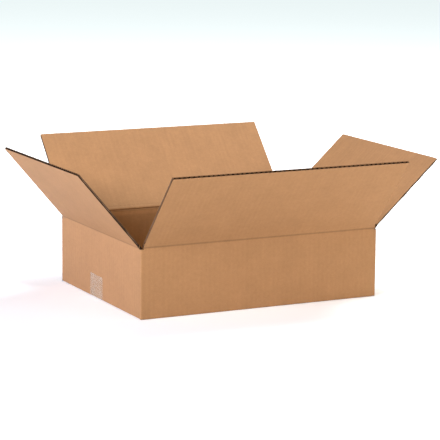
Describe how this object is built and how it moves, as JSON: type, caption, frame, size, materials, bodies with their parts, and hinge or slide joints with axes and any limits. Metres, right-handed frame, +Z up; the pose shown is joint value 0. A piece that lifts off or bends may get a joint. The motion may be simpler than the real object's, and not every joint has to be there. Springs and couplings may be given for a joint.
{
  "type": "open shipping carton",
  "caption": "Low slotted shipping carton of kraft corrugated board, taped at the bottom, with its top flaps standing open on their scores.",
  "frame": {"origin": "middle of the carton's footprint, on the surface that it stands on", "axes": "+X along the long side panels, +Y from the front panel to the back panel, +Z up"},
  "size_m": [0.6315, 0.5199, 0.2345],
  "materials": {
    "kraft_board": "matte",
    "clear_tape": "gloss"
  },
  "bodies": {
    "carton": {"box_body": "kraft_board", "bottom_tape": "clear_tape"},
    "front_flap": {"flap_front": "kraft_board"},
    "back_flap": {"flap_back": "kraft_board"},
    "left_flap": {"flap_left": "kraft_board"},
    "right_flap": {"flap_right": "kraft_board"}
  },
  "joints": [
    {"name": "front_flap_score", "type": "hinge", "parent": "carton", "child": "front_flap", "pos_m": [0, -0.1564, 0.1138], "axis": [1, 0, 0], "range_deg": [-130.8, 89.2]},
    {"name": "back_flap_score", "type": "hinge", "parent": "carton", "child": "back_flap", "pos_m": [0, 0.1564, 0.1138], "axis": [-1, 0, 0], "range_deg": [-132.4, 87.6]},
    {"name": "left_flap_score", "type": "hinge", "parent": "carton", "child": "left_flap", "pos_m": [-0.2072, 0, 0.1097], "axis": [0, -1, 0], "range_deg": [-130.6, 89.4]},
    {"name": "right_flap_score", "type": "hinge", "parent": "carton", "child": "right_flap", "pos_m": [0.2072, 0, 0.1097], "axis": [0, 1, 0], "range_deg": [-137.8, 82.2]}
  ]
}
